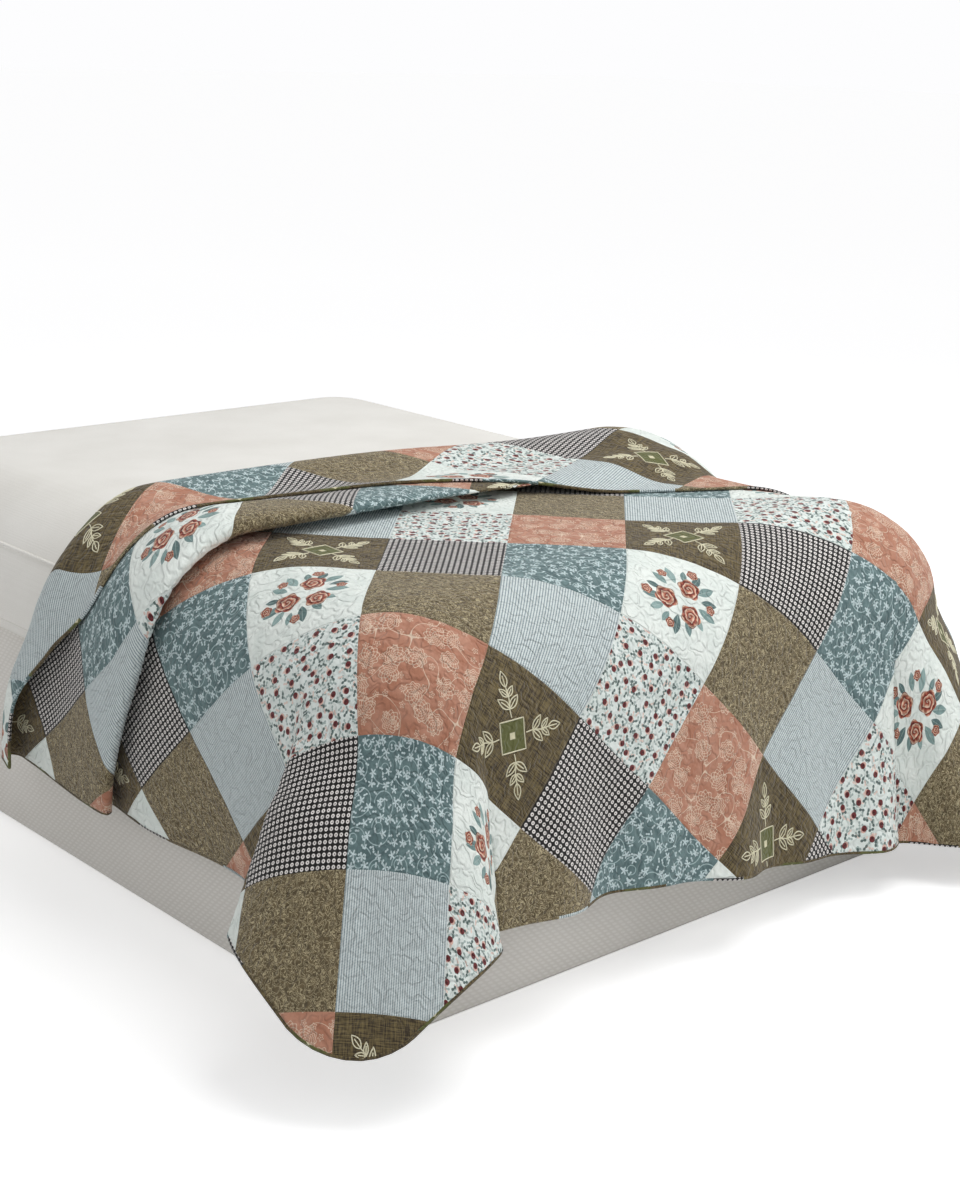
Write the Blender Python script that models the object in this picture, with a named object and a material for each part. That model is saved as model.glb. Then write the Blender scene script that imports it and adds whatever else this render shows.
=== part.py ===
"""A quilted patchwork bedspread on its bed.

The bedspread is one sheet of quilted cloth. It lies on the mattress, hangs over the foot and
both sides, stands out in a soft cone at each foot corner, makes one deep rolled fold across the
bed, and has its head end turned back over that fold. The mattress and the base under it are
plain. The origin is on the floor under the middle of the bed. +X is the right side for someone
who stands at the foot, +Y points to the head and +Z is up. All sizes are in metres.
"""
from math import cos, pi, sin

import bpy
import numpy as np

# The bed
MATTRESS_WIDTH = 1.53
MATTRESS_LENGTH = 2.03
MATTRESS_THICK = 0.28
MATTRESS_EDGE = 0.232
MATTRESS_CORNER = 0.26
MATTRESS_UNDER_EDGE = 0.03
BASE_INSET = 0.04
BASE_HEIGHT = 0.45
BASE_EDGE = 0.012
SEAT_GAP = 0.0003
TOP = BASE_HEIGHT + SEAT_GAP + MATTRESS_THICK

# The cloth: its patches stand on their corners, so its hems run along half diagonals of them
PATCH = 0.225
HALF_DIAGONAL = PATCH / 2 ** 0.5
CLOTH_WIDTH = 15 * HALF_DIAGONAL
CLOTH_CORNER = 0.20
CLOTH_THICK = 0.004
REST_GAP = 0.0008
LEFT_OVERHANG = 0.435
HEAD_HEM = 1.517
FOOT_OVERHANG = 0.399
FOOT_HEM_SLOPE = 0.056

# How it bends over the mattress's edges, measured outwards from the mattress's own sides
EDGE_RADIUS = 0.218
EDGE_CLEAR = 0.006
FLARE = 0.10
BEND = EDGE_RADIUS * (pi / 2 - FLARE)
LEFT = -MATTRESS_WIDTH / 2
RIGHT = MATTRESS_WIDTH / 2
FOOT = -MATTRESS_LENGTH / 2
INNER_LEFT = LEFT - EDGE_CLEAR + EDGE_RADIUS
INNER_RIGHT = RIGHT + EDGE_CLEAR - EDGE_RADIUS
INNER_FOOT = FOOT - EDGE_CLEAR + EDGE_RADIUS

# Slack in the cloth over the mattress's right foot corner, and how far that lifts the cloth below
CORNER_SLACK = 0.055
CORNER_LIFT = 0.024

# The cone at a foot corner: where its lobe starts and how it grows with the distance from the bend
CONE_START = 0.30
CONE_REACH = 0.42
CONE_SQUARE = 0.30
CONES = {
    # lean, widening
    "left": (1.17, 0.17),
    "right": (1.0, 0.13),
}

# The rolled fold: place of its front edge, from the mattress's left side and foot end
FOLD_FRONT = (
    # across, along, crest height, overhang
    (-0.435, 0.78, 0.048, 0.110),
    (-0.26, 0.705, 0.048, 0.145),
    (-0.09, 0.64, 0.050, 0.166),
    (0.04, 0.63, 0.054, 0.140),
    (0.19, 0.625, 0.056, 0.110),
    (0.54, 0.641, 0.040, 0.088),
    (0.94, 0.641, 0.024, 0.085),
    (1.34, 0.641, 0.038, 0.085),
    (1.952, 0.70, 0.038, 0.085),
)
FOLD_NECK = 0.022
FOLD_BACK = 0.33

# The turned-back head end: place of its ridge, from the mattress's left side and foot end
RIDGE = (
    # across, along
    (-0.435, 1.19),
    (-0.26, 1.12),
    (-0.12, 1.04),
    (0.03, 1.00),
    (0.24, 1.035),
    (0.54, 1.05),
    (0.84, 1.01),
    (1.14, 0.93),
    (1.44, 0.85),
    (1.952, 0.74),
)
FLAP_TURN = (
    # across, turn in radians
    (-0.435, -0.75),
    (-0.12, -0.75),
    (0.06, -0.50),
    (0.38, -0.14),
    (0.70, -0.16),
    (1.03, -0.22),
    (1.35, -0.32),
    (1.952, -0.40),
)
RIDGE_HEIGHT = 0.046
RIDGE_ROUND = 0.035
RIDGE_SOFT = 0.16
FLAP_GAP = 0.0032

# The coarse swells of the quilting on the cloth's face
SWELL_RISE = 0.0011
SWELL_WAVE = 0.105

# Faces along and across the cloth
COLUMNS = (("left drop", 15), ("top", 15), ("right drop", 15))
ROWS = {"drop": 15, "top": 8, "fold": 15, "back": 6, "ridge": 7, "flap": 9}


def ease(value, start, end):
    """Rises smoothly from 0 at start to 1 at end."""
    part = np.clip((value - start) / (end - start), 0, 1)
    return part * part * (3 - 2 * part)


def through(value, places, heights):
    """A smooth curve through a short table, straight on past both its ends."""
    places = np.asarray(places, float)
    heights = np.asarray(heights, float)
    slopes = np.gradient(heights, places)
    row = np.clip(np.searchsorted(places, value) - 1, 0, len(places) - 2)
    span = places[row + 1] - places[row]
    part = np.clip((value - places[row]) / span, 0, 1)
    curve = (1 + 2 * part) * (1 - part) ** 2 * heights[row]
    curve = curve + part * (1 - part) ** 2 * span * slopes[row]
    curve = curve + part ** 2 * (3 - 2 * part) * heights[row + 1]
    curve = curve + part ** 2 * (part - 1) * span * slopes[row + 1]
    before = np.minimum(value - places[0], 0) * slopes[0]
    after = np.maximum(value - places[-1], 0) * slopes[-1]
    return curve + before + after


def drop(distance):
    """How far out and down the cloth is, at a distance along it past the start of the bend."""
    angle = np.clip(distance, 0, BEND) / EDGE_RADIUS
    hang = np.clip(distance - BEND, 0, None)
    out = EDGE_RADIUS * np.sin(angle) + hang * sin(FLARE)
    down = EDGE_RADIUS * (1 - np.cos(angle)) + hang * cos(FLARE)
    return out, down


def cone_slice(distance, lean, widening, count):
    """A level cut through the corner cone: places across and out from the inner corner."""
    out = float(drop(distance)[0])
    root = out * 0.5 ** 0.5
    grown = float(ease(distance, 0.20, 0.46))
    reach = out + CONE_REACH * max(distance - CONE_START, 0)
    turn = np.linspace(-pi / 2, pi / 2, 801)
    power = 1 - CONE_SQUARE * grown
    lean_here = np.where(turn < 0, lean, 1.0)
    width = (root + widening * max(distance - 0.42, 0)) * lean_here
    neck = (width - root) * ease(np.abs(turn) / (pi / 2), 0.7, 1)
    lobe_across = np.sign(turn) * (width * np.abs(np.sin(turn)) ** power - neck)
    lobe_out = root + (reach - root) * np.clip(np.cos(turn), 0, 1) ** power
    across = (1 - grown) * out * np.sin(turn / 2) + grown * lobe_across
    outward = (1 - grown) * out * np.cos(turn / 2) + grown * lobe_out
    run = np.concatenate([[0], np.cumsum(np.hypot(np.diff(across), np.diff(outward)))])
    even = np.interp(np.linspace(0, 2, count), (0, 1, 2), (0, run[len(run) // 2], run[-1]))
    return np.interp(even, run, across), np.interp(even, run, outward)


def cone_table(lean, widening, count=161, steps=61, reach=1.0):
    """The corner cone, slice by slice: each thread runs down and out from the inner corner."""
    step = reach / (steps - 1)
    across = np.zeros((steps, count))
    outward = np.zeros((steps, count))
    down = np.zeros((steps, count))
    for row in range(1, steps):
        across[row], outward[row] = cone_slice(row * step, lean, widening, count)
        level = (across[row] - across[row - 1]) ** 2 + (outward[row] - outward[row - 1]) ** 2
        fall = np.sqrt(np.clip(step ** 2 - level, (0.1 * step) ** 2, None))
        down[row] = down[row - 1] + fall
    return step, across, outward, down


CONE_TABLES = {side: cone_table(*shape) for side, shape in CONES.items()}


def look_up(table, row, column):
    """Reads a table between its rows and columns."""
    row = np.clip(row, 0, table.shape[0] - 1.001)
    column = np.clip(column, 0, table.shape[1] - 1.001)
    i = row.astype(int)
    j = column.astype(int)
    s = row - i
    t = column - j
    low = (1 - t) * table[i, j] + t * table[i, j + 1]
    high = (1 - t) * table[i + 1, j] + t * table[i + 1, j + 1]
    return (1 - s) * low + s * high


def foot_slide(x, y):
    """The cloth has slipped down a little over the right of the foot, less so at its corner."""
    past_edge = np.clip(FOOT + 0.1 - y, 0, None)
    slipped = 0.01 + 0.216 * ease(x, LEFT + 0.45, LEFT + 1.35) - 0.10 * ease(x, RIGHT - 0.15, RIGHT + 0.25)
    lifted = CORNER_LIFT * ease(x, LEFT + 0.75, RIGHT) * ease(past_edge, 0, 0.2)
    return past_edge ** 2 * slipped - lifted


def bed_surface(x, y):
    """Where the cloth lies that, spread flat, would be at x, y over the mattress's top."""
    y = y - foot_slide(x, y)
    left = np.clip(INNER_LEFT - x, 0, None)
    right = np.clip(x - INNER_RIGHT, 0, None)
    foot = np.clip(INNER_FOOT - y, 0, None)
    left_out, left_down = drop(left)
    right_out, right_down = drop(right)
    foot_out, foot_down = drop(foot)
    px = np.clip(x, INNER_LEFT, INNER_RIGHT) - left_out + right_out
    py = np.maximum(y, INNER_FOOT) - foot_out
    pz = TOP - left_down - right_down - foot_down
    half = 0.5 ** 0.5
    corners = (("left", left, -1, INNER_LEFT), ("right", right, 1, INNER_RIGHT))
    for side, beyond, way, inner in corners:
        step, across, outward, down = CONE_TABLES[side]
        row = np.hypot(beyond, foot) / step
        column = np.arctan2(foot, beyond) / (pi / 2) * (across.shape[1] - 1)
        t = look_up(across, row, column)
        n = look_up(outward, row, column)
        inside = (beyond > 1e-9) & (foot > 1e-9)
        px = np.where(inside, inner + way * half * (n - t), px)
        py = np.where(inside, INNER_FOOT - half * (n + t), py)
        pz = np.where(inside, TOP - look_up(down, row, column), pz)
    return np.stack([px, py, pz], -1)


def sway(x, y):
    """How far the hanging cloth stands off its plain drop: soft waves, deeper near the hem."""
    left = np.clip(INNER_LEFT - BEND - x, 0, None)
    right = np.clip(x - INNER_RIGHT - BEND, 0, None)
    foot = np.clip(INNER_FOOT - BEND - y, 0, None)
    beside_cone = ease(y, FOOT + 0.11, FOOT + 0.34)
    tuck = -0.03 * (left / 0.28) ** 2 * beside_cone
    side_wave = 0.030 * left * np.sin(15.0 * y + 0.6) + 0.045 * right * np.sin(12.5 * y)
    inner = ease(x, LEFT + 0.06, LEFT + 0.3) * ease(-x, -RIGHT + 0.06, -RIGHT + 0.3)
    foot_wave = foot * (0.06 + 0.05 * np.sin(13.0 * x + 1.2) + 0.03 * np.sin(29.0 * x)) * inner
    return tuck + side_wave * beside_cone + foot_wave


def rumple(x, y):
    """Soft hollows and swells in the cloth where it lies on the mattress."""
    on_top = ease(x, LEFT - 0.1, LEFT + 0.2) * ease(-x, -RIGHT - 0.1, -RIGHT + 0.2)
    on_top = on_top * ease(y, FOOT, FOOT + 0.25)
    swell = np.sin(7.1 * x + 3.3 * y + 0.5) * np.sin(5.3 * y - 2.9 * x + 1.1)
    slack = np.exp(-((x - RIGHT - 0.03) / 0.28) ** 2 / 2 - ((y - FOOT - 0.04) / 0.14) ** 2 / 2)
    return 0.006 * (1 + swell) / 2 * on_top + CORNER_SLACK * slack


def place(x, y, height):
    """A point at a height over the bed's surface, along the surface's own normal."""
    reach = 0.004
    along_x = bed_surface(x + reach, y) - bed_surface(x - reach, y)
    along_y = bed_surface(x, y + reach) - bed_surface(x, y - reach)
    normal = np.cross(along_x, along_y)
    normal = normal / (np.linalg.norm(normal, axis=-1, keepdims=True) + 1e-12)
    total = height + sway(x, y) + rumple(x, y)
    return bed_surface(x, y) + total[..., None] * normal


def fold_at(x):
    """Front edge, crest height and overhang of the rolled fold."""
    across, along, crest, overhang = zip(*FOLD_FRONT)
    beside = x - LEFT
    return (FOOT + through(beside, across, along), through(beside, across, crest),
            through(beside, across, overhang))


def ridge_at(x):
    across, along = zip(*RIDGE)
    return FOOT + through(x - LEFT, across, along)


def flap_turn(x):
    """How far the turned-back end is swung round from straight down the bed."""
    across, turn = zip(*FLAP_TURN)
    return through(x - LEFT, across, turn)


def fold_back(run, crest):
    """Height of the fold's back slope, at a distance behind its front edge."""
    return crest * (1 - ease(run, 0.07, FOLD_BACK))


def foot_hem(x):
    """The foot hem runs a little askew to the patches."""
    return FOOT - FOOT_OVERHANG - FOOT_HEM_SLOPE * (x - LEFT + LEFT_OVERHANG)


def cloth_line(x, rows):
    """One thread of the cloth from foot hem to head hem, as x, y, height and length run."""
    rest = REST_GAP + CLOTH_THICK / 2
    front, crest, overhang = (float(v) for v in fold_at(x))
    ridge = float(ridge_at(x))
    turn = float(flap_turn(x))
    hem = float(foot_hem(x))
    bend_end = INNER_FOOT + 0.03
    root = front + overhang - 0.025
    drop_y = np.linspace(hem, bend_end, rows["drop"] + 1)[:-1]
    top_y = np.linspace(bend_end, root, rows["top"] + 1)[:-1]
    lying = np.concatenate([drop_y, top_y])
    neck = FOLD_NECK
    roll = (
        # distance behind the front edge, height
        (overhang - 0.025, 0.0),
        (overhang - 0.006, 0.10 * neck),
        (overhang + 0.003, 0.50 * neck),
        (overhang - 0.006, 0.90 * neck),
        (overhang - 0.025, neck),
        (0.45 * overhang, 1.05 * neck),
        (0.012, 1.05 * neck + 0.08 * (crest - neck)),
        (0.0, 0.5 * (crest + 1.1 * neck)),
        (0.012, 0.93 * crest),
        (0.034, crest),
    )
    order = np.arange(len(roll))
    steps = np.linspace(0, len(roll) - 1, rows["fold"] + 1)
    fold_y = front + through(steps, order, [row[0] for row in roll])
    fold_z = through(steps, order, [row[1] for row in roll])
    loop_start = ridge - RIDGE_ROUND
    back_y = np.linspace(front + 0.034, loop_start, rows["back"] + 1)[1:]
    back_z = fold_back(back_y - front, crest)
    loop = np.linspace(-pi / 2, pi / 2, rows["ridge"] + 1)[1:]
    loop_y = loop_start + RIDGE_ROUND * np.cos(loop)
    loop_z = back_z[-1] + RIDGE_HEIGHT / 2 * (1 + np.sin(loop))
    y = np.concatenate([lying, fold_y, back_y, loop_y])
    z = np.concatenate([0 * lying, fold_z, back_z, loop_z])
    run = np.concatenate([[0], np.cumsum(np.hypot(np.diff(y), np.diff(z)))])
    left_over = FOOT + HEAD_HEM - hem - run[-1]
    flap = np.linspace(0, left_over, rows["flap"] + 1)[1:]
    flap_x = x + sin(turn) * flap
    flap_y = loop_y[-1] - cos(turn) * flap
    front_here, crest_here, _ = fold_at(flap_x)
    behind = flap_y - front_here
    under = np.where(behind > 0.034, fold_back(behind, crest_here),
                     crest_here * ease(behind, -0.10, 0.034))
    lift = (RIDGE_HEIGHT - CLOTH_THICK - FLAP_GAP) * (1 - ease(flap, 0, RIDGE_SOFT))
    flap_z = under + CLOTH_THICK + FLAP_GAP + lift
    return (np.concatenate([np.full(len(y), x), flap_x]), np.concatenate([y, flap_y]),
            np.concatenate([z, flap_z]) + rest, np.concatenate([run, run[-1] + flap]))


def swell(x, y):
    """How far the quilting raises the cloth's face, in coarse form."""
    turn = 2 * pi / SWELL_WAVE
    return SWELL_RISE * (1 + np.sin(turn * (x + 0.3 * y)) * np.sin(turn * (y - 0.35 * x))) / 2


def round_corners(x, y):
    """Pulls the cloth's two foot corners in to quarter circles."""
    right_hem = LEFT - LEFT_OVERHANG + CLOTH_WIDTH
    down = np.clip(foot_hem(x) + CLOTH_CORNER - y, 0, None)
    for way, start in ((-1, LEFT - LEFT_OVERHANG + CLOTH_CORNER), (1, right_hem - CLOTH_CORNER)):
        out = np.clip(way * (x - start), 0, None)
        inside = (out > 0) & (down > 0)
        shrink = np.where(inside, np.maximum(out, down) / (np.hypot(out, down) + 1e-12), 1)
        x = np.where(inside, start + way * out * shrink, x)
        y = y + np.where(inside, down * (1 - shrink), 0)
    return x, y


def sheet_columns():
    """Places across the cloth: close together over the drops, wider apart on the top."""
    left_hem = LEFT - LEFT_OVERHANG
    right_hem = left_hem + CLOTH_WIDTH
    edges = (left_hem, INNER_LEFT, INNER_RIGHT, right_hem)
    places = [left_hem]
    for (name, count), start, end in zip(COLUMNS, edges, edges[1:]):
        places.extend(np.linspace(start, end, count + 1)[1:])
    return places


def material(name, colour, roughness):
    made = bpy.data.materials.new(name)
    made.use_nodes = True
    made.diffuse_color = colour
    shader = made.node_tree.nodes["Principled BSDF"]
    shader.inputs["Base Color"].default_value = colour
    shader.inputs["Roughness"].default_value = roughness
    shader.inputs["Metallic"].default_value = 0.0
    return made


def add_object(name, points, faces, look):
    mesh = bpy.data.meshes.new(name)
    mesh.from_pydata([tuple(float(c) for c in p) for p in points], [], faces)
    mesh.validate()
    mesh.materials.append(look)
    mesh.shade_smooth()
    made = bpy.data.objects.new(name, mesh)
    bpy.context.collection.objects.link(made)
    return made


def bedspread():
    """The sheet: a front and a back surface, joined round the hems."""
    lines = [cloth_line(x, ROWS) for x in sheet_columns()]
    x, y, height, run = (np.array([line[k] for line in lines]) for k in range(4))
    flat_x = np.array(sheet_columns())[:, None]
    raised = swell(flat_x, foot_hem(flat_x) + run)
    x, y = round_corners(x, y)
    middle = place(x, y, height)
    along = np.gradient(middle, axis=1)
    across = np.gradient(middle, axis=0)
    normal = np.cross(across, along)
    normal /= np.linalg.norm(normal, axis=-1, keepdims=True)
    front = (middle + normal * (CLOTH_THICK / 2 + raised[..., None])).reshape(-1, 3)
    back = (middle - normal * CLOTH_THICK / 2).reshape(-1, 3)
    columns, rows = x.shape
    count = columns * rows
    number = np.arange(count).reshape(columns, rows)
    faces = []
    for i in range(columns - 1):
        for j in range(rows - 1):
            quad = [number[i, j], number[i + 1, j], number[i + 1, j + 1], number[i, j + 1]]
            faces.append([int(v) for v in quad])
            faces.append([int(v) + count for v in reversed(quad)])
    rim = list(number[:, 0]) + list(number[-1, 1:]) + list(number[-2::-1, -1]) + list(number[0, -2:0:-1])
    for here, there in zip(rim, rim[1:] + rim[:1]):
        faces.append([int(there), int(here), int(here) + count, int(there) + count])
    look = material("quilted cotton", (0.42, 0.44, 0.40, 1), 0.9)
    return add_object("bedspread", np.concatenate([front, back]), faces, look)


def slab(name, width, length, corner, rings, look):
    """A soft-edged block from level rings, each an inset rectangle with round corners."""
    points = []
    corner_steps = 8
    for inset, z in rings:
        radius = corner - inset
        for turn, sx, sy in ((0, 1, 1), (1, -1, 1), (2, -1, -1), (3, 1, -1)):
            cx = sx * (width / 2 - corner)
            cy = sy * (length / 2 - corner)
            for k in range(corner_steps + 1):
                angle = (turn + k / corner_steps) * pi / 2
                points.append((cx + radius * cos(angle), cy + radius * sin(angle), z))
    ring = 4 * (corner_steps + 1)
    faces = [list(range(ring))[::-1], [ring * (len(rings) - 1) + k for k in range(ring)]]
    for row in range(len(rings) - 1):
        for k in range(ring):
            a = row * ring + k
            b = row * ring + (k + 1) % ring
            faces.append([a, b, b + ring, a + ring])
    return add_object(name, points, faces, look)


def mattress():
    bottom = BASE_HEIGHT + SEAT_GAP
    rings = []
    for k in range(4):
        angle = k / 3 * pi / 2
        inset = MATTRESS_UNDER_EDGE * (1 - sin(angle))
        rings.append((inset, bottom + MATTRESS_UNDER_EDGE * (1 - cos(angle))))
    for k in range(11):
        angle = k / 10 * pi / 2
        inset = MATTRESS_EDGE * (1 - cos(angle))
        rings.append((inset, TOP - MATTRESS_EDGE * (1 - sin(angle))))
    look = material("mattress ticking", (0.86, 0.85, 0.82, 1), 0.85)
    return slab("mattress", MATTRESS_WIDTH, MATTRESS_LENGTH, MATTRESS_CORNER, rings, look)


def bed_base():
    rings = ((BASE_EDGE, 0.0), (0.0, BASE_EDGE), (0.0, BASE_HEIGHT - BASE_EDGE),
             (BASE_EDGE, BASE_HEIGHT))
    look = material("base cover", (0.80, 0.79, 0.77, 1), 0.9)
    width = MATTRESS_WIDTH - 2 * BASE_INSET
    length = MATTRESS_LENGTH - 2 * BASE_INSET
    return slab("bed_base", width, length, 0.08, rings, look)


for old in list(bpy.data.objects):
    bpy.data.objects.remove(old, do_unlink=True)

bed_base()
mattress()
bedspread()
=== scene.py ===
"""Looks of a quilted patchwork bedspread on its bed.

Everything is in metres in the part's own frame: origin on the floor under the middle of the bed,
+X to the right of someone at the foot, +Y to the head, +Z up.
"""

from math import asin, atan, cos, pi, radians, sin

import bmesh
import bpy
import numpy as np
from mathutils import Matrix, Vector
from mathutils.bvhtree import BVHTree
from mathutils.interpolate import poly_3d_calc


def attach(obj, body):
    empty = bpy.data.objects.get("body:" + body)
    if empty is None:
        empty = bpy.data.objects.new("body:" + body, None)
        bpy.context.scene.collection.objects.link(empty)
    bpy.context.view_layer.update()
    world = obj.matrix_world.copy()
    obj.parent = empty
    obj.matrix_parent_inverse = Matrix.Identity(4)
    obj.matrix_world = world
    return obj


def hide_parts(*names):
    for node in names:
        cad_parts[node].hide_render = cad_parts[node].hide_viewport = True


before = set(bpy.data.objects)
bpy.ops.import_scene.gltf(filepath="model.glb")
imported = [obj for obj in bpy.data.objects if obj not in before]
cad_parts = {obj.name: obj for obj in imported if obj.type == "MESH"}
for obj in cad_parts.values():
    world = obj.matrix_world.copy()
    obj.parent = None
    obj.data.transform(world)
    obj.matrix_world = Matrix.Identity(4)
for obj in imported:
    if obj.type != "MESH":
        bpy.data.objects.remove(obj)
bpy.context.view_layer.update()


# Studio: a pale floor, a wide soft light over the foot, a softer one at each side and a
# camera that looks across the bed from its left foot corner.

def linear(code):
    """An sRGB hex colour as linear red, green, blue and alpha."""
    parts = [int(code[k:k + 2], 16) / 255 for k in (1, 3, 5)]
    return [c / 12.92 if c <= 0.04045 else ((c + 0.055) / 1.055) ** 2.4 for c in parts] + [1.0]


def add(tree, kind, *links, **settings):
    """Adds a node. Its inputs come in order, or in a dict by name or number. Each is a node, a
    socket, a hex colour or another value.
    """
    made = tree.nodes.new(kind)
    for name, value in settings.items():
        setattr(made, name, value)
    for place, link in enumerate(links):
        for slot, value in (link if isinstance(link, dict) else {place: link}).items():
            if isinstance(value, bpy.types.Node):
                value = value.outputs[0]
            if isinstance(value, bpy.types.NodeSocket):
                tree.links.new(value, made.inputs[slot])
            else:
                made.inputs[slot].default_value = linear(value) if isinstance(value, str) else value
    return made


MATH = "ShaderNodeMath"
RANGE = "ShaderNodeMapRange"


def new_material(name, roughness, sheen=0.0):
    made = bpy.data.materials.new(name)
    made.use_nodes = True
    shader = made.node_tree.nodes["Principled BSDF"]
    shader.inputs["Roughness"].default_value = roughness
    shader.inputs["Sheen Weight"].default_value = sheen
    shader.inputs["Sheen Roughness"].default_value = 0.5
    return made, made.node_tree, shader


def new_object(name, data):
    made = bpy.data.objects.new(name, data)
    bpy.context.collection.objects.link(made)
    return made


FLOOR_SIZE = 60.0
floor_mesh = bpy.data.meshes.new("floor")
floor_mesh.from_pydata([(x * FLOOR_SIZE, y * FLOOR_SIZE, -0.0005)
                        for x, y in ((-1, -1), (1, -1), (1, 1), (-1, 1))], [], [(0, 1, 2, 3)])
floor = new_object("floor", floor_mesh)
floor_look, tree, shader = new_material("matt white studio board", 0.8)
shader.inputs["Base Color"].default_value = linear("#fbfbfb")
shader.inputs["Emission Color"].default_value = linear("#ffffff")
away = add(tree, "ShaderNodeCameraData").outputs["View Distance"]
glow = add(tree, RANGE, away, 4.0, 14.0, 0.42, 0.485)
lit = add(tree, MATH, add(tree, "ShaderNodeLightPath"), glow, operation="MULTIPLY")
tree.links.new(lit.outputs[0], shader.inputs["Emission Strength"])
floor.data.materials.append(floor_look)

bpy.context.scene.view_settings.view_transform = "Standard"
world = bpy.data.worlds.new("studio air")
bpy.context.scene.world = world
world.use_nodes = True
air = world.node_tree
seen = add(air, "ShaderNodeLightPath").outputs["Is Camera Ray"]
strength = add(air, RANGE, seen, 0.0, 1.0, 0.52)
air.nodes["Background"].inputs["Color"].default_value = linear("#fdfdfe")
air.links.new(strength.outputs[0], air.nodes["Background"].inputs["Strength"])

LIGHTS = (
    # name, place, aimed at, width, watts
    ("overhead", (0.8, -1.2, 4.2), (0.0, -0.2, 0.6), 3.0, 76),
    ("right of the foot", (3.2, -3.8, 3.0), (0.0, 0.0, 0.4), 2.4, 46),
    ("left side", (-4.2, -0.6, 2.6), (0.0, 0.0, 0.4), 2.5, 6),
)
for name, place_at, aim, width, watts in LIGHTS:
    lamp = bpy.data.lights.new(name, "AREA")
    lamp.shape = "DISK"
    lamp.size = width
    lamp.energy = watts
    lamp_object = new_object(name, lamp)
    lamp_object.location = place_at
    way = Vector(aim) - Vector(place_at)
    lamp_object.rotation_euler = way.to_track_quat("-Z", "Y").to_euler()

CAMERA_PLACE = (-2.631, -3.323, 1.670)
CAMERA_TURN = radians(41.94)
CAMERA_DOWN = radians(16.04)
CAMERA_TILT = radians(1.72)
FOCAL_PER_WIDTH = 1975 / 960
camera_data = bpy.data.cameras.new("camera")
camera_data.sensor_fit = "HORIZONTAL"
camera_data.sensor_width = 36
camera_data.lens = 36 * FOCAL_PER_WIDTH
camera = new_object("camera", camera_data)
camera.matrix_world = (Matrix.Translation(CAMERA_PLACE)
                       @ Matrix.Rotation(-CAMERA_TURN, 4, "Z")
                       @ Matrix.Rotation(pi / 2 - CAMERA_DOWN, 4, "X")
                       @ Matrix.Rotation(CAMERA_TILT, 4, "Z"))
bpy.context.scene.camera = camera


# Bed base: a plain box covered in a coarse pale woven cloth. The part's own solid shows, and
# gets the weave: warp and weft drawn 4 mm apart, coarser than real so that they show.

def layered(tree, colour, *layers):
    """A colour with others laid over it in turn, each as far as its mask says."""
    for mask, over in layers:
        mixed = add(tree, "ShaderNodeMix", {0: mask, 6: colour, 7: over}, data_type="RGBA")
        colour = mixed.outputs[2]
    return colour


def finish_look(tree, shader, colour, relief):
    tree.links.new(colour, shader.inputs["Base Color"])
    tree.links.new(relief.outputs["Normal"], shader.inputs["Normal"])


NOISE = "ShaderNodeTexNoise"
BASE_THREAD = 0.004
base_look, tree, shader = new_material("coarse woven base cover", 0.9, sheen=0.15)
spot = add(tree, "ShaderNodeTexCoord").outputs["Object"]
warp, weft = [add(tree, "ShaderNodeTexWave", {"Vector": spot, "Distortion": 0.6, "Detail": 1.0,
                                              "Scale": 1 / (BASE_THREAD * 20 / pi)},
                  bands_direction=way) for way in ("Z", "DIAGONAL")]
mottle = add(tree, NOISE, {"Vector": spot, "Scale": 9.0, "Detail": 5.0})
weave = add(tree, MATH, warp, weft, operation="MULTIPLY")
tone = add(tree, MATH, mottle, 0.75, weave, operation="MULTIPLY_ADD")
colour = layered(tree, "#d6d2ca", (tone, "#e8e5df"))
bump = add(tree, "ShaderNodeBump", {"Height": weave, "Strength": 0.2, "Distance": 0.0008})
finish_look(tree, shader, colour, bump)
base_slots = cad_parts["bed_base"].data.materials
base_slots.clear()
base_slots.append(base_look)


# Mattress: foam and springs in a plain white knitted cover, with a corded edge sewn in round
# the top and the bottom of its side. It is soft, so it is modelled here over the part's solid.

MATTRESS_WIDTH = 1.53
MATTRESS_LENGTH = 2.03
MATTRESS_THICK = 0.28
MATTRESS_EDGE = 0.232
MATTRESS_CORNER = 0.26
MATTRESS_UNDER_EDGE = 0.03
MATTRESS_LOW = 0.4503
TOP = MATTRESS_LOW + MATTRESS_THICK
COVER_GAP = 0.0006
CORD_RADIUS = 0.004


def mattress_ring(inset, z, corner_steps=24, side_steps=30):
    """A level ring round the mattress, at an inset from its outermost line."""
    radius = MATTRESS_CORNER - inset
    ring = []
    for turn, sx, sy in ((0, 1, 1), (1, -1, 1), (2, -1, -1), (3, 1, -1)):
        cx = sx * (MATTRESS_WIDTH / 2 - MATTRESS_CORNER)
        cy = sy * (MATTRESS_LENGTH / 2 - MATTRESS_CORNER)
        for k in range(corner_steps + 1):
            angle = (turn + k / corner_steps) * pi / 2
            ring.append(Vector((cx + radius * cos(angle), cy + radius * sin(angle), z)))
    full = []
    for k, here in enumerate(ring):
        there = ring[(k + 1) % len(ring)]
        steps = side_steps if (k + 1) % (corner_steps + 1) == 0 else 1
        full += [here.lerp(there, s / steps) for s in range(steps)]
    return full


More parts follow.
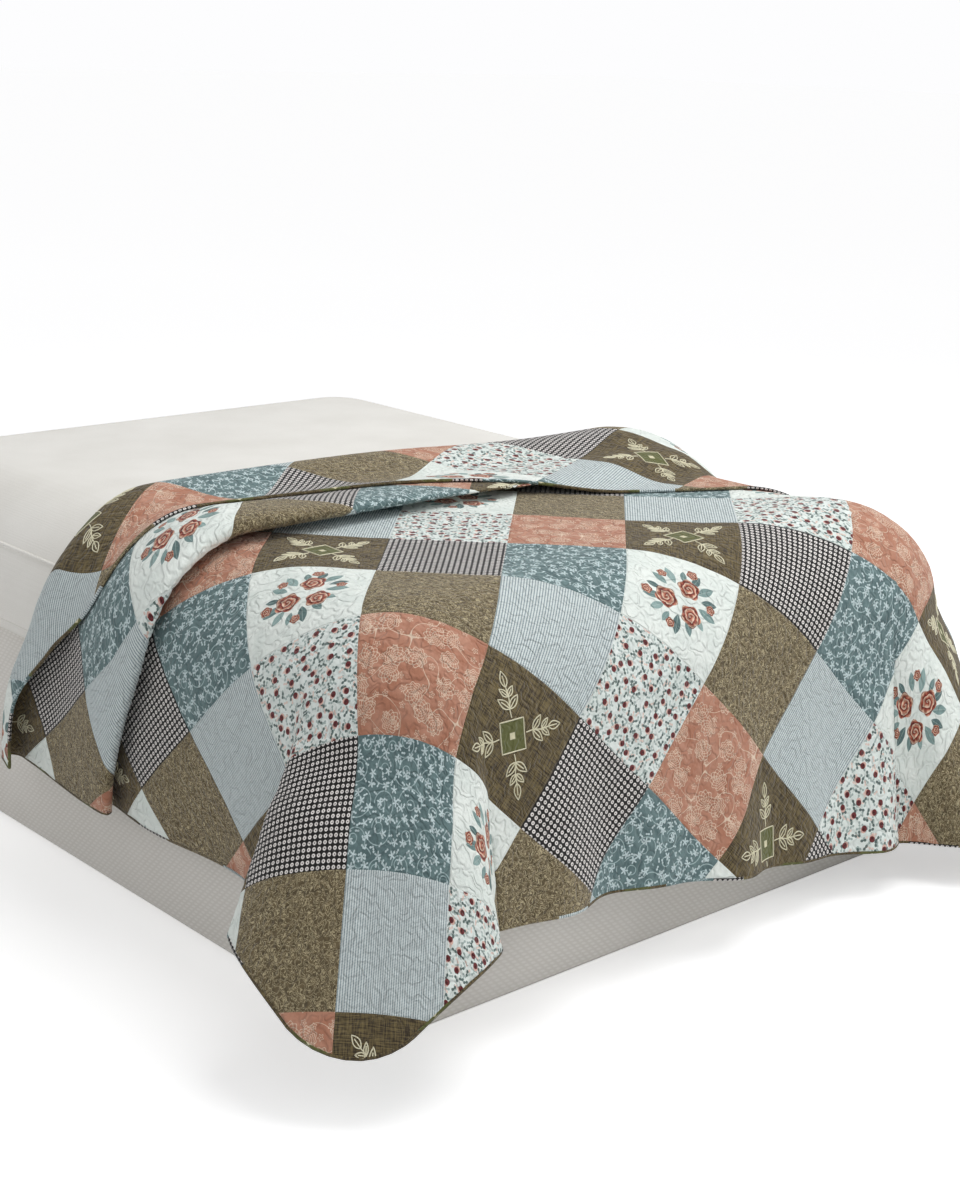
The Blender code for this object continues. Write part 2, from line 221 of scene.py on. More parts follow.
def cord_tree():
    """Geometry Nodes: a round cord along every path, closed at the ends."""
    tree = bpy.data.node_groups.new("cord along a path", "GeometryNodeTree")
    face = tree.interface
    for name, way, kind in (("Path", "INPUT", "Geometry"), ("Cord radius", "INPUT", "Float"),
                            ("Sides", "INPUT", "Int"), ("Material", "INPUT", "Material"),
                            ("Cord", "OUTPUT", "Geometry")):
        face.new_socket(name, in_out=way, socket_type="NodeSocket" + kind)
    start = add(tree, "NodeGroupInput")
    ring = add(tree, "GeometryNodeCurvePrimitiveCircle",
               {"Resolution": start.outputs["Sides"], "Radius": start.outputs["Cord radius"]})
    swept = add(tree, "GeometryNodeCurveToMesh",
                {"Curve": start.outputs["Path"], "Profile Curve": ring, "Fill Caps": True})
    real = add(tree, "GeometryNodeRealizeInstances", {0: swept})
    done = add(tree, "GeometryNodeSetMaterial",
               {"Geometry": real, "Material": start.outputs["Material"]})
    add(tree, "NodeGroupOutput", {0: done})
    return tree


CORD_TREE = cord_tree()


def cords_along(name, paths, radius, sides, look):
    """Round cords along paths, each a list of points and whether it closes on itself."""
    curve = bpy.data.curves.new(name, "CURVE")
    curve.dimensions = "3D"
    for points, closed in paths:
        spline = curve.splines.new("POLY")
        spline.points.add(len(points) - 1)
        spline.points.foreach_set("co", [c for p in points for c in (*p, 1.0)])
        spline.use_cyclic_u = closed
    lines = new_object(name + " lines", curve)
    step = lines.modifiers.new("cord", "NODES")
    step.node_group = CORD_TREE
    sizes = {"Cord radius": radius, "Sides": sides, "Material": look}
    for socket in CORD_TREE.interface.items_tree:
        if socket.name in sizes:
            step[socket.identifier] = sizes[socket.name]
    depsgraph = bpy.context.evaluated_depsgraph_get()
    mesh = bpy.data.meshes.new_from_object(lines.evaluated_get(depsgraph))
    bpy.data.objects.remove(lines)
    bpy.data.curves.remove(curve)
    mesh.name = name
    mesh.shade_smooth()
    return new_object(name, mesh)


levels = []
for angle in np.linspace(0, pi / 2, 7):
    levels.append((MATTRESS_UNDER_EDGE * (1 - sin(angle)),
                   MATTRESS_LOW + MATTRESS_UNDER_EDGE * (1 - cos(angle))))
for angle in np.linspace(0, pi / 2, 25):
    levels.append((MATTRESS_EDGE * (1 - cos(angle)) + COVER_GAP,
                   TOP - COVER_GAP - MATTRESS_EDGE * (1 - sin(angle))))
shape = bmesh.new()
rows = [[shape.verts.new(p) for p in mattress_ring(inset, z)] for inset, z in levels]
around = len(rows[0])
for low, high in zip(rows, rows[1:]):
    for k in range(around):
        shape.faces.new([low[k], low[(k + 1) % around], high[(k + 1) % around], high[k]])
shape.faces.new(rows[0][::-1])
shape.faces.new(rows[-1])
mattress_mesh = bpy.data.meshes.new("mattress_cover")
shape.to_mesh(mattress_mesh)
shape.free()
mattress_mesh.shade_smooth()
mattress = new_object("mattress_cover", mattress_mesh)

KNIT_PITCH = 0.004
knit_look, tree, shader = new_material("white knitted mattress cover", 0.85, sheen=0.2)
spot = add(tree, "ShaderNodeTexCoord").outputs["Object"]
cells = add(tree, "ShaderNodeTexVoronoi", {"Vector": spot, "Scale": 1 / KNIT_PITCH,
                                           "Randomness": 0.35})
soft = add(tree, NOISE, {"Vector": spot, "Scale": 6.0, "Detail": 4.0})
tone = add(tree, MATH, cells.outputs["Distance"], 0.35, soft, operation="MULTIPLY_ADD")
colour = layered(tree, "#dfdcd4", (tone, "#f4f2ec"))
bump = add(tree, "ShaderNodeBump", {"Height": cells.outputs["Distance"], "Strength": 0.25,
                                    "Distance": 0.0012})
finish_look(tree, shader, colour, bump)
mattress.data.materials.append(knit_look)
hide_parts("mattress")
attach(mattress, "root")

cord_heights = (MATTRESS_LOW + MATTRESS_UNDER_EDGE, MATTRESS_LOW + MATTRESS_THICK * 0.62)
cord_paths = []
for z in cord_heights:
    rise = max(0.0, (z - (TOP - MATTRESS_EDGE)) / MATTRESS_EDGE)
    cord_paths.append((mattress_ring(MATTRESS_EDGE * (1 - cos(asin(rise))) + 0.001, z), True))
cords = cords_along("mattress_edge_cords", cord_paths, CORD_RADIUS, 8, knit_look)
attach(cords, "root")


# Bedspread: two printed patchwork cottons with a thin wadding between them, quilted together
# all over with a wandering line. It lies over the mattress, hangs over the foot and both sides,
# makes a rolled fold across the bed and has its head end turned back over the fold.

PATCH = 0.225
HALF_DIAGONAL = PATCH / 2 ** 0.5
CLOTH_WIDTH = 15 * HALF_DIAGONAL
CLOTH_CORNER = 0.20
CLOTH_THICK = 0.004
REST_GAP = 0.0008
LEFT_OVERHANG = 0.435
HEAD_HEM = 1.517
FOOT_OVERHANG = 0.399
FOOT_HEM_SLOPE = 0.056
EDGE_RADIUS = 0.218
EDGE_CLEAR = 0.006
FLARE = 0.10
BEND = EDGE_RADIUS * (pi / 2 - FLARE)
LEFT = -MATTRESS_WIDTH / 2
RIGHT = MATTRESS_WIDTH / 2
FOOT = -MATTRESS_LENGTH / 2
INNER_LEFT = LEFT - EDGE_CLEAR + EDGE_RADIUS
INNER_RIGHT = RIGHT + EDGE_CLEAR - EDGE_RADIUS
INNER_FOOT = FOOT - EDGE_CLEAR + EDGE_RADIUS
SLIDE = 0.216
SLIDE_CORNER = 0.10
SIDE_TUCK = 0.03
FOOT_LEAN = 0.06
HOLLOWS = 0.006
# Waves of the hang: depth for each metre hung, radians to the metre along the edge, start.
LEFT_WAVE = (0.030, 15.0, 0.6)
RIGHT_WAVE = (0.045, 12.5, 0.0)
FOOT_WAVE = (0.05, 13.0, 1.2)
FOOT_RIPPLE = (0.03, 29.0, 0.0)
CORNER_SLACK = 0.055
CORNER_LIFT = 0.024
CONE_START = 0.30
CONE_REACH = 0.42
CONE_SQUARE = 0.30
CONE_ROUND_TO = 0.20
CONE_LOBED_FROM = 0.46
CONE_WIDE_FROM = 0.42
CONES = {
    # lean, widening
    "left": (1.17, 0.17),
    "right": (1.0, 0.13),
}
FOLD_FRONT = (
    # across, along, crest height, overhang
    (-0.435, 0.78, 0.048, 0.110),
    (-0.26, 0.705, 0.048, 0.145),
    (-0.09, 0.64, 0.050, 0.166),
    (0.04, 0.63, 0.054, 0.140),
    (0.19, 0.625, 0.056, 0.110),
    (0.54, 0.641, 0.040, 0.088),
    (0.94, 0.641, 0.024, 0.085),
    (1.34, 0.641, 0.038, 0.085),
    (1.952, 0.70, 0.038, 0.085),
)
FOLD_NECK = 0.022
FOLD_ROOT = 0.025
FOLD_CREST = 0.034
FOLD_BACK = 0.33
RIDGE = (
    # across, along
    (-0.435, 1.19),
    (-0.26, 1.12),
    (-0.12, 1.04),
    (0.03, 1.00),
    (0.24, 1.035),
    (0.54, 1.05),
    (0.84, 1.01),
    (1.14, 0.93),
    (1.44, 0.85),
    (1.952, 0.74),
)
FLAP_TURN = (
    # across, turn in radians
    (-0.435, -0.75),
    (-0.12, -0.75),
    (0.06, -0.50),
    (0.38, -0.14),
    (0.70, -0.16),
    (1.03, -0.22),
    (1.35, -0.32),
    (1.952, -0.40),
)
RIDGE_HEIGHT = 0.046
RIDGE_ROUND = 0.035
RIDGE_SOFT = 0.16
FLAP_GAP = 0.0032
SWELL_RISE = 0.0011
SWELL_WAVE = 0.105


def ease(value, start, end):
    """Rises smoothly from 0 at start to 1 at end."""
    part = np.clip((value - start) / (end - start), 0, 1)
    return part * part * (3 - 2 * part)


def through(value, places, heights):
    """A smooth curve through a short table, straight on past both its ends."""
    places = np.asarray(places, float)
    heights = np.asarray(heights, float)
    slopes = np.gradient(heights, places)
    row = np.clip(np.searchsorted(places, value) - 1, 0, len(places) - 2)
    span = places[row + 1] - places[row]
    part = np.clip((value - places[row]) / span, 0, 1)
    curve = (1 + 2 * part) * (1 - part) ** 2 * heights[row]
    curve = curve + part * (1 - part) ** 2 * span * slopes[row]
    curve = curve + part ** 2 * (3 - 2 * part) * heights[row + 1]
    curve = curve + part ** 2 * (part - 1) * span * slopes[row + 1]
    before = np.minimum(value - places[0], 0) * slopes[0]
    after = np.maximum(value - places[-1], 0) * slopes[-1]
    return curve + before + after


def drop(distance):
    """How far out and down the cloth is, at a distance along it past the start of the bend."""
    angle = np.clip(distance, 0, BEND) / EDGE_RADIUS
    hang = np.clip(distance - BEND, 0, None)
    out = EDGE_RADIUS * np.sin(angle) + hang * sin(FLARE)
    down = EDGE_RADIUS * (1 - np.cos(angle)) + hang * cos(FLARE)
    return out, down


def cone_slice(distance, lean, widening, count):
    """A level cut through the corner cone: places across and out from the inner corner."""
    out = float(drop(distance)[0])
    root = out * 0.5 ** 0.5
    grown = float(ease(distance, CONE_ROUND_TO, CONE_LOBED_FROM))
    reach = out + CONE_REACH * max(distance - CONE_START, 0)
    turn = np.linspace(-pi / 2, pi / 2, 801)
    power = 1 - CONE_SQUARE * grown
    lean_here = np.where(turn < 0, lean, 1.0)
    width = (root + widening * max(distance - CONE_WIDE_FROM, 0)) * lean_here
    neck = (width - root) * ease(np.abs(turn) / (pi / 2), 0.7, 1)
    lobe_across = np.sign(turn) * (width * np.abs(np.sin(turn)) ** power - neck)
    lobe_out = root + (reach - root) * np.clip(np.cos(turn), 0, 1) ** power
    across = (1 - grown) * out * np.sin(turn / 2) + grown * lobe_across
    outward = (1 - grown) * out * np.cos(turn / 2) + grown * lobe_out
    run = np.concatenate([[0], np.cumsum(np.hypot(np.diff(across), np.diff(outward)))])
    even = np.interp(np.linspace(0, 2, count), (0, 1, 2), (0, run[len(run) // 2], run[-1]))
    return np.interp(even, run, across), np.interp(even, run, outward)


def cone_table(lean, widening, count=161, steps=61, reach=1.0):
    """The corner cone, slice by slice: each thread runs down and out from the inner corner."""
    step = reach / (steps - 1)
    across, outward, down = np.zeros((3, steps, count))
    for row in range(1, steps):
        across[row], outward[row] = cone_slice(row * step, lean, widening, count)
        level = (across[row] - across[row - 1]) ** 2 + (outward[row] - outward[row - 1]) ** 2
        fall = np.sqrt(np.clip(step ** 2 - level, (0.1 * step) ** 2, None))
        down[row] = down[row - 1] + fall
    return step, across, outward, down


CONE_TABLES = {side: cone_table(*shape) for side, shape in CONES.items()}


def look_up(table, row, column):
    """Reads a table between its rows and columns."""
    row = np.clip(row, 0, table.shape[0] - 1.001)
    column = np.clip(column, 0, table.shape[1] - 1.001)
    i = row.astype(int)
    j = column.astype(int)
    s = row - i
    t = column - j
    low = (1 - t) * table[i, j] + t * table[i, j + 1]
    high = (1 - t) * table[i + 1, j] + t * table[i + 1, j + 1]
    return (1 - s) * low + s * high


def foot_slide(x, y):
    """The cloth has slipped down a little over the right of the foot, less so at its corner."""
    past_edge = np.clip(FOOT + 0.1 - y, 0, None)
    slipped = (0.01 + SLIDE * ease(x, LEFT + 0.45, LEFT + 1.35)
               - SLIDE_CORNER * ease(x, RIGHT - 0.15, RIGHT + 0.25))
    lifted = CORNER_LIFT * ease(x, LEFT + 0.75, RIGHT) * ease(past_edge, 0, 0.2)
    return past_edge ** 2 * slipped - lifted


def bed_surface(x, y):
    """Where the cloth lies that, spread flat, would be at x, y over the mattress's top."""
    y = y - foot_slide(x, y)
    left = np.clip(INNER_LEFT - x, 0, None)
    right = np.clip(x - INNER_RIGHT, 0, None)
    foot = np.clip(INNER_FOOT - y, 0, None)
    left_out, left_down = drop(left)
    right_out, right_down = drop(right)
    foot_out, foot_down = drop(foot)
    px = np.clip(x, INNER_LEFT, INNER_RIGHT) - left_out + right_out
    py = np.maximum(y, INNER_FOOT) - foot_out
    pz = TOP - left_down - right_down - foot_down
    half = 0.5 ** 0.5
    corners = (("left", left, -1, INNER_LEFT), ("right", right, 1, INNER_RIGHT))
    for side, beyond, way, inner in corners:
        step, across, outward, down = CONE_TABLES[side]
        row = np.hypot(beyond, foot) / step
        column = np.arctan2(foot, beyond) / (pi / 2) * (across.shape[1] - 1)
        t = look_up(across, row, column)
        n = look_up(outward, row, column)
        inside = (beyond > 1e-9) & (foot > 1e-9)
        px = np.where(inside, inner + way * half * (n - t), px)
        py = np.where(inside, INNER_FOOT - half * (n + t), py)
        pz = np.where(inside, TOP - look_up(down, row, column), pz)
    return np.stack([px, py, pz], -1)


def wave(at, depth, rate, start):
    return depth * np.sin(rate * at + start)


def sway(x, y):
    """How far the hanging cloth stands off its plain drop: soft waves, deeper near the hem."""
    left = np.clip(INNER_LEFT - BEND - x, 0, None)
    right = np.clip(x - INNER_RIGHT - BEND, 0, None)
    foot = np.clip(INNER_FOOT - BEND - y, 0, None)
    beside_cone = ease(y, FOOT + 0.11, FOOT + 0.34)
    tuck = -SIDE_TUCK * (left / 0.28) ** 2 * beside_cone
    side_wave = left * wave(y, *LEFT_WAVE) + right * wave(y, *RIGHT_WAVE)
    inner = ease(x, LEFT + 0.06, LEFT + 0.3) * ease(-x, -RIGHT + 0.06, -RIGHT + 0.3)
    foot_wave = foot * (FOOT_LEAN + wave(x, *FOOT_WAVE) + wave(x, *FOOT_RIPPLE)) * inner
    return tuck + side_wave * beside_cone + foot_wave


def rumple(x, y):
    """Soft hollows and swells in the cloth where it lies on the mattress."""
    on_top = ease(x, LEFT - 0.1, LEFT + 0.2) * ease(-x, -RIGHT - 0.1, -RIGHT + 0.2)
    on_top = on_top * ease(y, FOOT, FOOT + 0.25)
    swell = np.sin(7.1 * x + 3.3 * y + 0.5) * np.sin(5.3 * y - 2.9 * x + 1.1)
    slack = np.exp(-((x - RIGHT - 0.03) / 0.28) ** 2 / 2 - ((y - FOOT - 0.04) / 0.14) ** 2 / 2)
    return HOLLOWS * (1 + swell) / 2 * on_top + CORNER_SLACK * slack


def place(x, y, height):
    """A point at a height over the bed's surface, along the surface's own normal."""
    reach = 0.004
    along_x = bed_surface(x + reach, y) - bed_surface(x - reach, y)
    along_y = bed_surface(x, y + reach) - bed_surface(x, y - reach)
    normal = np.cross(along_x, along_y)
    normal = normal / (np.linalg.norm(normal, axis=-1, keepdims=True) + 1e-12)
    total = height + sway(x, y) + rumple(x, y)
    return bed_surface(x, y) + total[..., None] * normal


def table_at(table, x):
    """What a table gives at x. Its places are counted from the mattress's left edge."""
    across, *rows = zip(*table)
    return [through(x - LEFT, across, row) for row in rows]


def fold_at(x):
    """Front edge, crest height and overhang of the rolled fold."""
    along, crest, overhang = table_at(FOLD_FRONT, x)
    return FOOT + along, crest, overhang


def ridge_at(x):
    return FOOT + table_at(RIDGE, x)[0]


def flap_turn(x):
    """How far the turned-back end is swung round from straight down the bed."""
    return table_at(FLAP_TURN, x)[0]


def fold_back(run, crest):
    """Height of the fold's back slope, at a distance behind its front edge."""
    return crest * (1 - ease(run, 0.07, FOLD_BACK))


def foot_hem(x):
    """The foot hem runs a little askew to the patches."""
    return FOOT - FOOT_OVERHANG - FOOT_HEM_SLOPE * (x - LEFT + LEFT_OVERHANG)


def swell(x, y):
    """How far the quilting raises the cloth's face, in coarse form."""
    turn = 2 * pi / SWELL_WAVE
    return SWELL_RISE * (1 + np.sin(turn * (x + 0.3 * y)) * np.sin(turn * (y - 0.35 * x))) / 2


ROWS = {"fold": 54, "back": 12, "ridge": 16, "flap": 24}


def cloth_line(x):
    """One thread of the cloth from foot hem to head hem, as x, y, height and length run."""
    rest = REST_GAP + CLOTH_THICK / 2
    front, crest, overhang = (float(v) for v in fold_at(x))
    ridge = float(ridge_at(x))
    turn = float(flap_turn(x))
    hem = float(foot_hem(x))
    neck = FOLD_NECK
    roll = (
        # distance behind the front edge, height
        (overhang - FOLD_ROOT, 0.0),
        (overhang - 0.006, 0.10 * neck),
        (overhang + 0.003, 0.50 * neck),
        (overhang - 0.006, 0.90 * neck),
        (overhang - FOLD_ROOT, neck),
        (0.45 * overhang, 1.05 * neck),
        (0.012, 1.05 * neck + 0.08 * (crest - neck)),
        (0.0, 0.5 * (crest + 1.1 * neck)),
        (0.012, 0.93 * crest),
        (FOLD_CREST, crest),
    )
    order = np.arange(len(roll))
    steps = np.linspace(0, len(roll) - 1, ROWS["fold"] + 1)
    fold_y = front + through(steps, order, [row[0] for row in roll])
    fold_z = through(steps, order, [row[1] for row in roll])
    loop_start = ridge - RIDGE_ROUND
    back_y = np.linspace(front + FOLD_CREST, loop_start, ROWS["back"] + 1)[1:]
    back_z = fold_back(back_y - front, crest)
    loop = np.linspace(-pi / 2, pi / 2, ROWS["ridge"] + 1)[1:]
    loop_y = loop_start + RIDGE_ROUND * np.cos(loop)
    loop_z = back_z[-1] + RIDGE_HEIGHT / 2 * (1 + np.sin(loop))
    y = np.concatenate([[hem], fold_y, back_y, loop_y])
    z = np.concatenate([[0.0], fold_z, back_z, loop_z])
    run = np.concatenate([[0], np.cumsum(np.hypot(np.diff(y), np.diff(z)))])
    left_over = FOOT + HEAD_HEM - hem - run[-1]
    flap = np.linspace(0, left_over, ROWS["flap"] + 1)[1:]
    flap_x = x + sin(turn) * flap
    flap_y = loop_y[-1] - cos(turn) * flap
    front_here, crest_here, _ = fold_at(flap_x)
    behind = flap_y - front_here
    under = np.where(behind > FOLD_CREST, fold_back(behind, crest_here),
                     crest_here * ease(behind, -0.10, FOLD_CREST))
    lift = (RIDGE_HEIGHT - CLOTH_THICK - FLAP_GAP) * (1 - ease(flap, 0, RIDGE_SOFT))
    flap_z = under + CLOTH_THICK + FLAP_GAP + lift
    return (np.concatenate([np.full(len(y), x), flap_x]), np.concatenate([y, flap_y]),
            np.concatenate([z, flap_z]) + rest, np.concatenate([run, run[-1] + flap]))


def drape(flat_x, flat_y):
    """Takes points of the flat cloth to where they are on the bed."""
    spots = np.zeros((len(flat_x), 3))
    threads = np.round(flat_x, 5)
    order = np.argsort(threads, kind="stable")
    starts = np.flatnonzero(np.diff(threads[order], prepend=np.nan))
    for members in np.split(order, starts[1:]):
        x = float(threads[members[0]])
        line_x, line_y, line_z, run = cloth_line(x)
        along = flat_y[members] - float(foot_hem(x))
        for axis, line in enumerate((line_x, line_y, line_z)):
            spots[members, axis] = np.interp(along, run, line)
    return place(spots[:, 0], spots[:, 1], spots[:, 2])


# The flat cloth is a grid of small squares that follows the patches, cut at the hems.

PATCH_X = -0.802
PATCH_Y = -0.970
CELLS = 22
LEFT_HEM = LEFT - LEFT_OVERHANG
RIGHT_HEM = LEFT_HEM + CLOTH_WIDTH
HEAD = FOOT + HEAD_HEM
REVERSE_X = -0.054
REVERSE_Y = HEAD - 0.03
FACE_FIRST = 7
REVERSE_FIRST = 5
PRINT_COUNT = 8
TWEED = 1


def print_at(i, j, first):
    """The number of a patch's print. Each next row of patches is three prints further on."""
    return int(np.floor(j) + 3 * np.floor(i) + first) % PRINT_COUNT


def face_patch(x, y):
    """Patch coordinates on the cloth's face, one unit to a patch."""
    across = (x - PATCH_X) / HALF_DIAGONAL
    down = (PATCH_Y - y) / HALF_DIAGONAL
    return (down + across) / 2, (down - across) / 2


def reverse_patch(x, y):
    """Patch coordinates on the cloth's reverse."""
    across = (x - REVERSE_X) / HALF_DIAGONAL
    down = (REVERSE_Y - y) / HALF_DIAGONAL
    return (across - down) / 2, (-across - down) / 2


flat = bmesh.new()
grid = {}
for m in range(-8 * CELLS, 9 * CELLS):
    for n in range(-13 * CELLS, 5 * CELLS):
        ring = []
        for i, j in ((m, n), (m, n + 1), (m + 1, n + 1), (m + 1, n)):
            ring.append((i, j, PATCH_X + HALF_DIAGONAL * (i - j) / CELLS,
                         PATCH_Y - HALF_DIAGONAL * (i + j) / CELLS))
        if (max(p[2] for p in ring) < LEFT_HEM or min(p[2] for p in ring) > RIGHT_HEM
                or min(p[3] for p in ring) > HEAD
                or max(p[3] for p in ring) < foot_hem(RIGHT_HEM)):
            continue
        for i, j, x, y in ring:
            if (i, j) not in grid:
                grid[i, j] = flat.verts.new((x, y, 0))
        flat.faces.new([grid[i, j] for i, j, _, _ in ring])

slope = atan(FOOT_HEM_SLOPE)
cuts = [((LEFT_HEM, 0, 0), (-1, 0, 0)), ((RIGHT_HEM, 0, 0), (1, 0, 0)), ((0, HEAD, 0), (0, 1, 0)),
        ((0, foot_hem(0.0), 0), (-sin(slope), -cos(slope), 0))]
for corner_x, way in ((LEFT_HEM, -1), (RIGHT_HEM, 1)):
    centre = Vector((corner_x - way * CLOTH_CORNER,
                     foot_hem(corner_x - way * CLOTH_CORNER) + CLOTH_CORNER, 0))
    for k in range(1, 10):
        angle = k / 10 * pi / 2
        out = Vector((way * cos(angle), -sin(angle), 0))
        cuts.append((centre + out * CLOTH_CORNER, out))
for spot, out in cuts:
    bmesh.ops.bisect_plane(flat, geom=flat.verts[:] + flat.edges[:] + flat.faces[:], dist=1e-5,
                           plane_co=spot, plane_no=out, clear_outer=True)
bmesh.ops.dissolve_degenerate(flat, dist=0.0004, edges=flat.edges[:])
flat.verts.index_update()
flat_spots = np.array([v.co[:2] for v in flat.verts])
flat_faces = [[v.index for v in face.verts] for face in flat.faces]
hem_next = {}
for edge in flat.edges:
    if edge.is_boundary:
        loop = edge.link_loops[0]
        hem_next[loop.vert.index] = loop.link_loop_next.vert.index
flat.free()
hem = [next(iter(hem_next))]
while hem_next[hem[-1]] != hem[0]:
    hem.append(hem_next[hem[-1]])

middle = drape(flat_spots[:, 0], flat_spots[:, 1])
sheet = bpy.data.meshes.new("sheet")
sheet.from_pydata(middle.tolist(), [], flat_faces)
normals = np.zeros(len(middle) * 3)
sheet.vertices.foreach_get("normal", normals)
normals = normals.reshape(-1, 3)
if normals[:, 2].mean() < 0:
    normals = -normals
    flat_faces = [face[::-1] for face in flat_faces]
    hem = hem[::-1]
bpy.data.meshes.remove(sheet)

count = len(middle)
raised = CLOTH_THICK / 2 + swell(flat_spots[:, 0], flat_spots[:, 1])
spots = np.concatenate([middle + normals * raised[:, None], middle - normals * CLOTH_THICK / 2])
faces = list(flat_faces) + [[v + count for v in face[::-1]] for face in flat_faces]
for here, there in zip(hem, hem[1:] + hem[:1]):
    faces.append([there, here, here + count, there + count])
quilt_mesh = bpy.data.meshes.new("bedspread_quilt")
quilt_mesh.from_pydata(spots.tolist(), [], faces)
face_uv = np.stack(face_patch(flat_spots[:, 0], flat_spots[:, 1]), -1)
reverse_uv = np.stack(reverse_patch(flat_spots[:, 0], flat_spots[:, 1]), -1)
patch_uv = np.concatenate([face_uv, reverse_uv])
layer = quilt_mesh.uv_layers.new(name="patches")
corner_verts = np.zeros(len(quilt_mesh.loops), int)
quilt_mesh.loops.foreach_get("vertex_index", corner_verts)
corner_uv = patch_uv[corner_verts]
rim_start = 2 * sum(len(face) for face in flat_faces)
corner_uv[rim_start:] = face_uv[corner_verts[rim_start:] % count]
layer.data.foreach_set("uv", corner_uv.ravel())

# The prints. Each cotton is drawn from its place on the cloth in metres, so the scale of each
# print is a real size.

VECTOR = "ShaderNodeVectorMath"
MAPPING = "ShaderNodeMapping"
SPLIT = "ShaderNodeSeparateXYZ"
CHECK_ROW = 0.0105
STRIPE_PITCH = 0.0050
STITCH_PITCH = 0.0046
STITCH_SLANT = 0.010
SQUIGGLE_PITCH = 0.0085
TWEED_THREAD = 0.0021
CENTRE_HALF = 0.0058
SCROLL_PITCH = 0.052
STAR_PITCH = 0.027
FLOWER_PITCH = 0.052
FLORET_PITCH = 0.027
STEM_PITCH = 0.06
BUD_PITCH = 0.031
DRAWN_HALF = 0.0006
PUCKER_PITCH = 0.009
SEAM_DIP_AND_SHADE = 0.0016
QUILT_PITCH = 0.020
QUILT_PUFF = 0.0028
PUFF_RISE = 0.22
PUCKER_SHARE = 0.80
CREASE_SHADE = 0.975


def polar(tree, at):
    """Radius and angle of a place."""
    parts = add(tree, SPLIT, at)
    radius = add(tree, VECTOR, at, operation="LENGTH").outputs["Value"]
    return radius, add(tree, MATH, parts.outputs[1], parts.outputs[0], operation="ARCTAN2")


def from_middle(tree, at):
    """The larger of a place's distances across and up from the middle."""
    parts = add(tree, SPLIT, add(tree, VECTOR, at, operation="ABSOLUTE"))
    return add(tree, MATH, parts.outputs[0], parts.outputs[1], operation="MAXIMUM")


def in_cell(tree, at):
    """The place inside its own unit square, from the square's middle."""
    part = add(tree, VECTOR, at, operation="FRACTION")
    return add(tree, VECTOR, part, (0.5, 0.5, 0), operation="SUBTRACT")


def on_flat(tree):
    """The place on the flat cloth in metres."""
    at = add(tree, "ShaderNodeUVMap", uv_map="patches")
    return add(tree, VECTOR, {0: at, "Scale": PATCH}, operation="SCALE")


def in_patch(tree):
    """The place inside its own patch in metres, from the patch's middle."""
    at = in_cell(tree, add(tree, "ShaderNodeUVMap", uv_map="patches"))
    return add(tree, VECTOR, {0: at, "Scale": PATCH}, operation="SCALE")


def within(tree, value, edge, soft):
    """1 where the value is under the edge, 0 where it is over it."""
    return add(tree, RANGE, value, edge - soft, edge + soft, 1.0, 0.0,
               interpolation_type="SMOOTHSTEP")


def apart(tree, value, other):
    """How far two values are from each other."""
    gap = add(tree, MATH, value, other, operation="SUBTRACT")
    return add(tree, MATH, gap, operation="ABSOLUTE")


def stroke(tree, value, line, half_width):
    """1 along a thin line, which is where the value is the line's own."""
    return within(tree, apart(tree, value, line), half_width, half_width * 0.5)


def most(tree, *masks):
    """The strongest of several masks."""
    found = masks[0]
    for mask in masks[1:]:
        found = add(tree, MATH, found, mask, operation="MAXIMUM")
    return found


def scattered(tree, spot, pitch, unevenness):
    """Scattered motif centres: radius in metres and angle, turned at random for each motif."""
    cells = add(tree, "ShaderNodeTexVoronoi",
                {"Vector": spot, "Scale": 1 / pitch, "Randomness": unevenness},
                voronoi_dimensions="2D")
    off = add(tree, VECTOR, spot, cells.outputs["Position"], operation="SUBTRACT")
    radius, angle = polar(tree, off)
    chance = add(tree, "ShaderNodeSeparateColor", cells.outputs["Color"])
    return radius, add(tree, MATH, chance, 2 * pi, angle, operation="MULTIPLY_ADD")


def petals(tree, angle, count, radius, depth):
    """The outline of a round motif with petals: its radius at each angle."""
    wave = add(tree, MATH, angle, float(count), operation="MULTIPLY")
    wave = add(tree, MATH, wave, operation="COSINE")
    return add(tree, MATH, wave, radius * depth, radius, operation="MULTIPLY_ADD")


def inside_outline(tree, radius, outline, soft=0.0003):
    return within(tree, add(tree, MATH, radius, outline, operation="SUBTRACT"), 0.0, soft)


def mottled(tree, spot, size, dark, light):
    """Two colours in soft clouds of a size in metres."""
    cloud = add(tree, NOISE, {"Vector": spot, "Scale": 1 / size, "Detail": 3.0},
                noise_dimensions="2D")
    return layered(tree, dark, (add(tree, RANGE, cloud, 0.35, 0.65), light))


def small_check(tree, spot):
    """Off-white rings on black, in rows 10.5 mm apart, with black squares between them."""
    side = CHECK_ROW / 2 ** 0.5
    at = add(tree, MAPPING, {"Vector": spot, "Rotation": (0, 0, pi / 4), "Scale": (side, side, 1)},
             vector_type="TEXTURE")
    squares = add(tree, "ShaderNodeTexChecker",
                  {"Vector": at, "Scale": 1.0, "Color1": "#efeae6", "Color2": "#0e0b0a"})
    off = add(tree, VECTOR, in_cell(tree, at), operation="LENGTH").outputs["Value"]
    dark = most(tree, within(tree, off, 0.16, 0.05), add(tree, RANGE, off, 0.43, 0.53))
    return layered(tree, squares, (dark, "#0e0b0a"))


